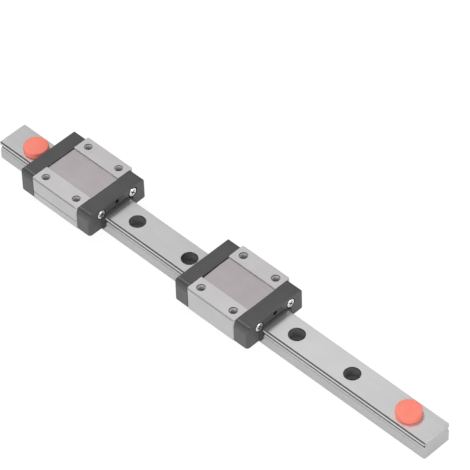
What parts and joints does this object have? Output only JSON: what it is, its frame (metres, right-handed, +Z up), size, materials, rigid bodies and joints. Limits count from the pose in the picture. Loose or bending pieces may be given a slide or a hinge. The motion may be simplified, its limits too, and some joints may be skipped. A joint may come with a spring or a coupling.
{
  "type": "linear guide rail",
  "caption": "Straight steel guide rail with ball grooves along its sides, a row of counterbored screw holes, and short ball carriages that slide along it.",
  "frame": {"origin": "middle of the rail's base, half way along its length", "axes": "+X along the rail, +Y across it, +Z up out of the rail's top face"},
  "size_m": [0.2, 0.027, 0.013],
  "materials": {
    "rail_steel": "fine ground bearing steel, satin",
    "carriage_steel": "ground and satin-blasted hardened steel",
    "cap_plastic": "moulded dark grey engineering plastic, fine matt",
    "seal_rubber": "matt black nitrile rubber",
    "screw_steel": "bright plated steel",
    "ball_steel": "polished bearing steel",
    "plug_plastic": "coral red soft plastic"
  },
  "bodies": {
    "rail": {"rail": "rail_steel", "plug_far": "plug_plastic", "plug_near": "plug_plastic"},
    "carriage_a": {"carriage_a_body": "carriage_steel", "carriage_a_cap_far": "cap_plastic", "carriage_a_cap_near": "cap_plastic", "carriage_a_seal_far": "seal_rubber", "carriage_a_seal_near": "seal_rubber", "carriage_a_screws_far": "screw_steel", "carriage_a_screws_near": "screw_steel", "carriage_a_balls": "ball_steel"},
    "carriage_b": {"carriage_b_body": "carriage_steel", "carriage_b_cap_far": "cap_plastic", "carriage_b_cap_near": "cap_plastic", "carriage_b_seal_far": "seal_rubber", "carriage_b_seal_near": "seal_rubber", "carriage_b_screws_far": "screw_steel", "carriage_b_screws_near": "screw_steel", "carriage_b_balls": "ball_steel"}
  },
  "joints": [
    {"name": "carriage_a_slide", "type": "slide", "parent": "rail", "child": "carriage_a", "axis": [1, 0, 0], "range_m": [-0.0012, 0.0198]},
    {"name": "carriage_b_slide", "type": "slide", "parent": "rail", "child": "carriage_b", "axis": [1, 0, 0], "range_m": [-0.0198, 0.0545]}
  ]
}
